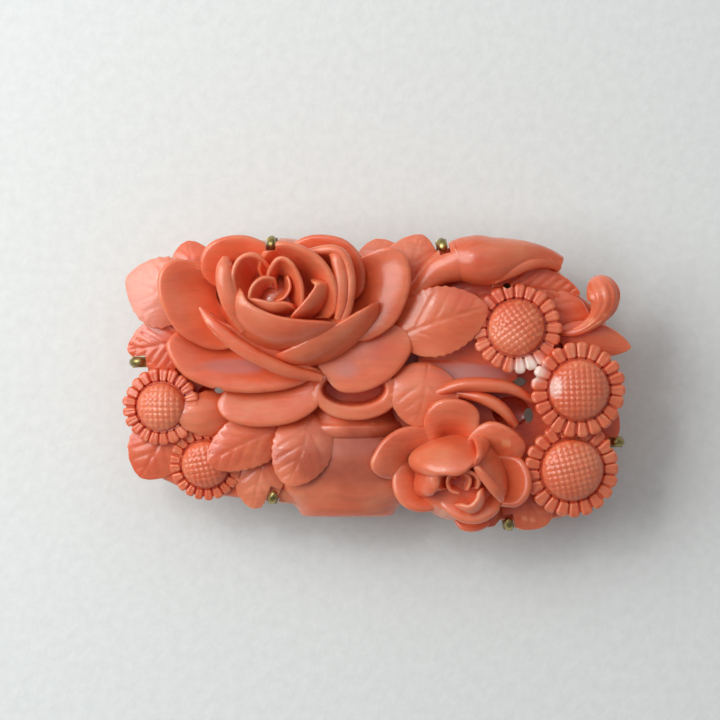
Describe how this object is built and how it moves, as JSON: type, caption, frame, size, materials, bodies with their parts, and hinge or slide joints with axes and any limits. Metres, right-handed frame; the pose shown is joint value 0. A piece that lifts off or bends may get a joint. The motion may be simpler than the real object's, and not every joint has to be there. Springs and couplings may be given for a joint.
{
  "type": "carved coral sash clip",
  "caption": "Sash-cord clip: a coral plaque carved in high relief with roses, daisies, leaves and a vase, held by claws on a soldered frame with cord bridges behind.",
  "frame": {"origin": "centre of the bounding box at the underside of the two cord bridges, on which it lies", "axes": "+X along the cord, from the pair of left daisies to the three right ones; +Y up the picture, from the vase's foot to the rose's top; +Z out of the relief"},
  "size_m": [0.0514, 0.0302, 0.0174],
  "materials": {
    "coral": "carved coral, polished by hand",
    "setting_metal": "yellow gold, worked and polished"
  },
  "bodies": {
    "root": {"coral_carving": "coral", "claw_setting": "setting_metal"}
  },
  "joints": []
}
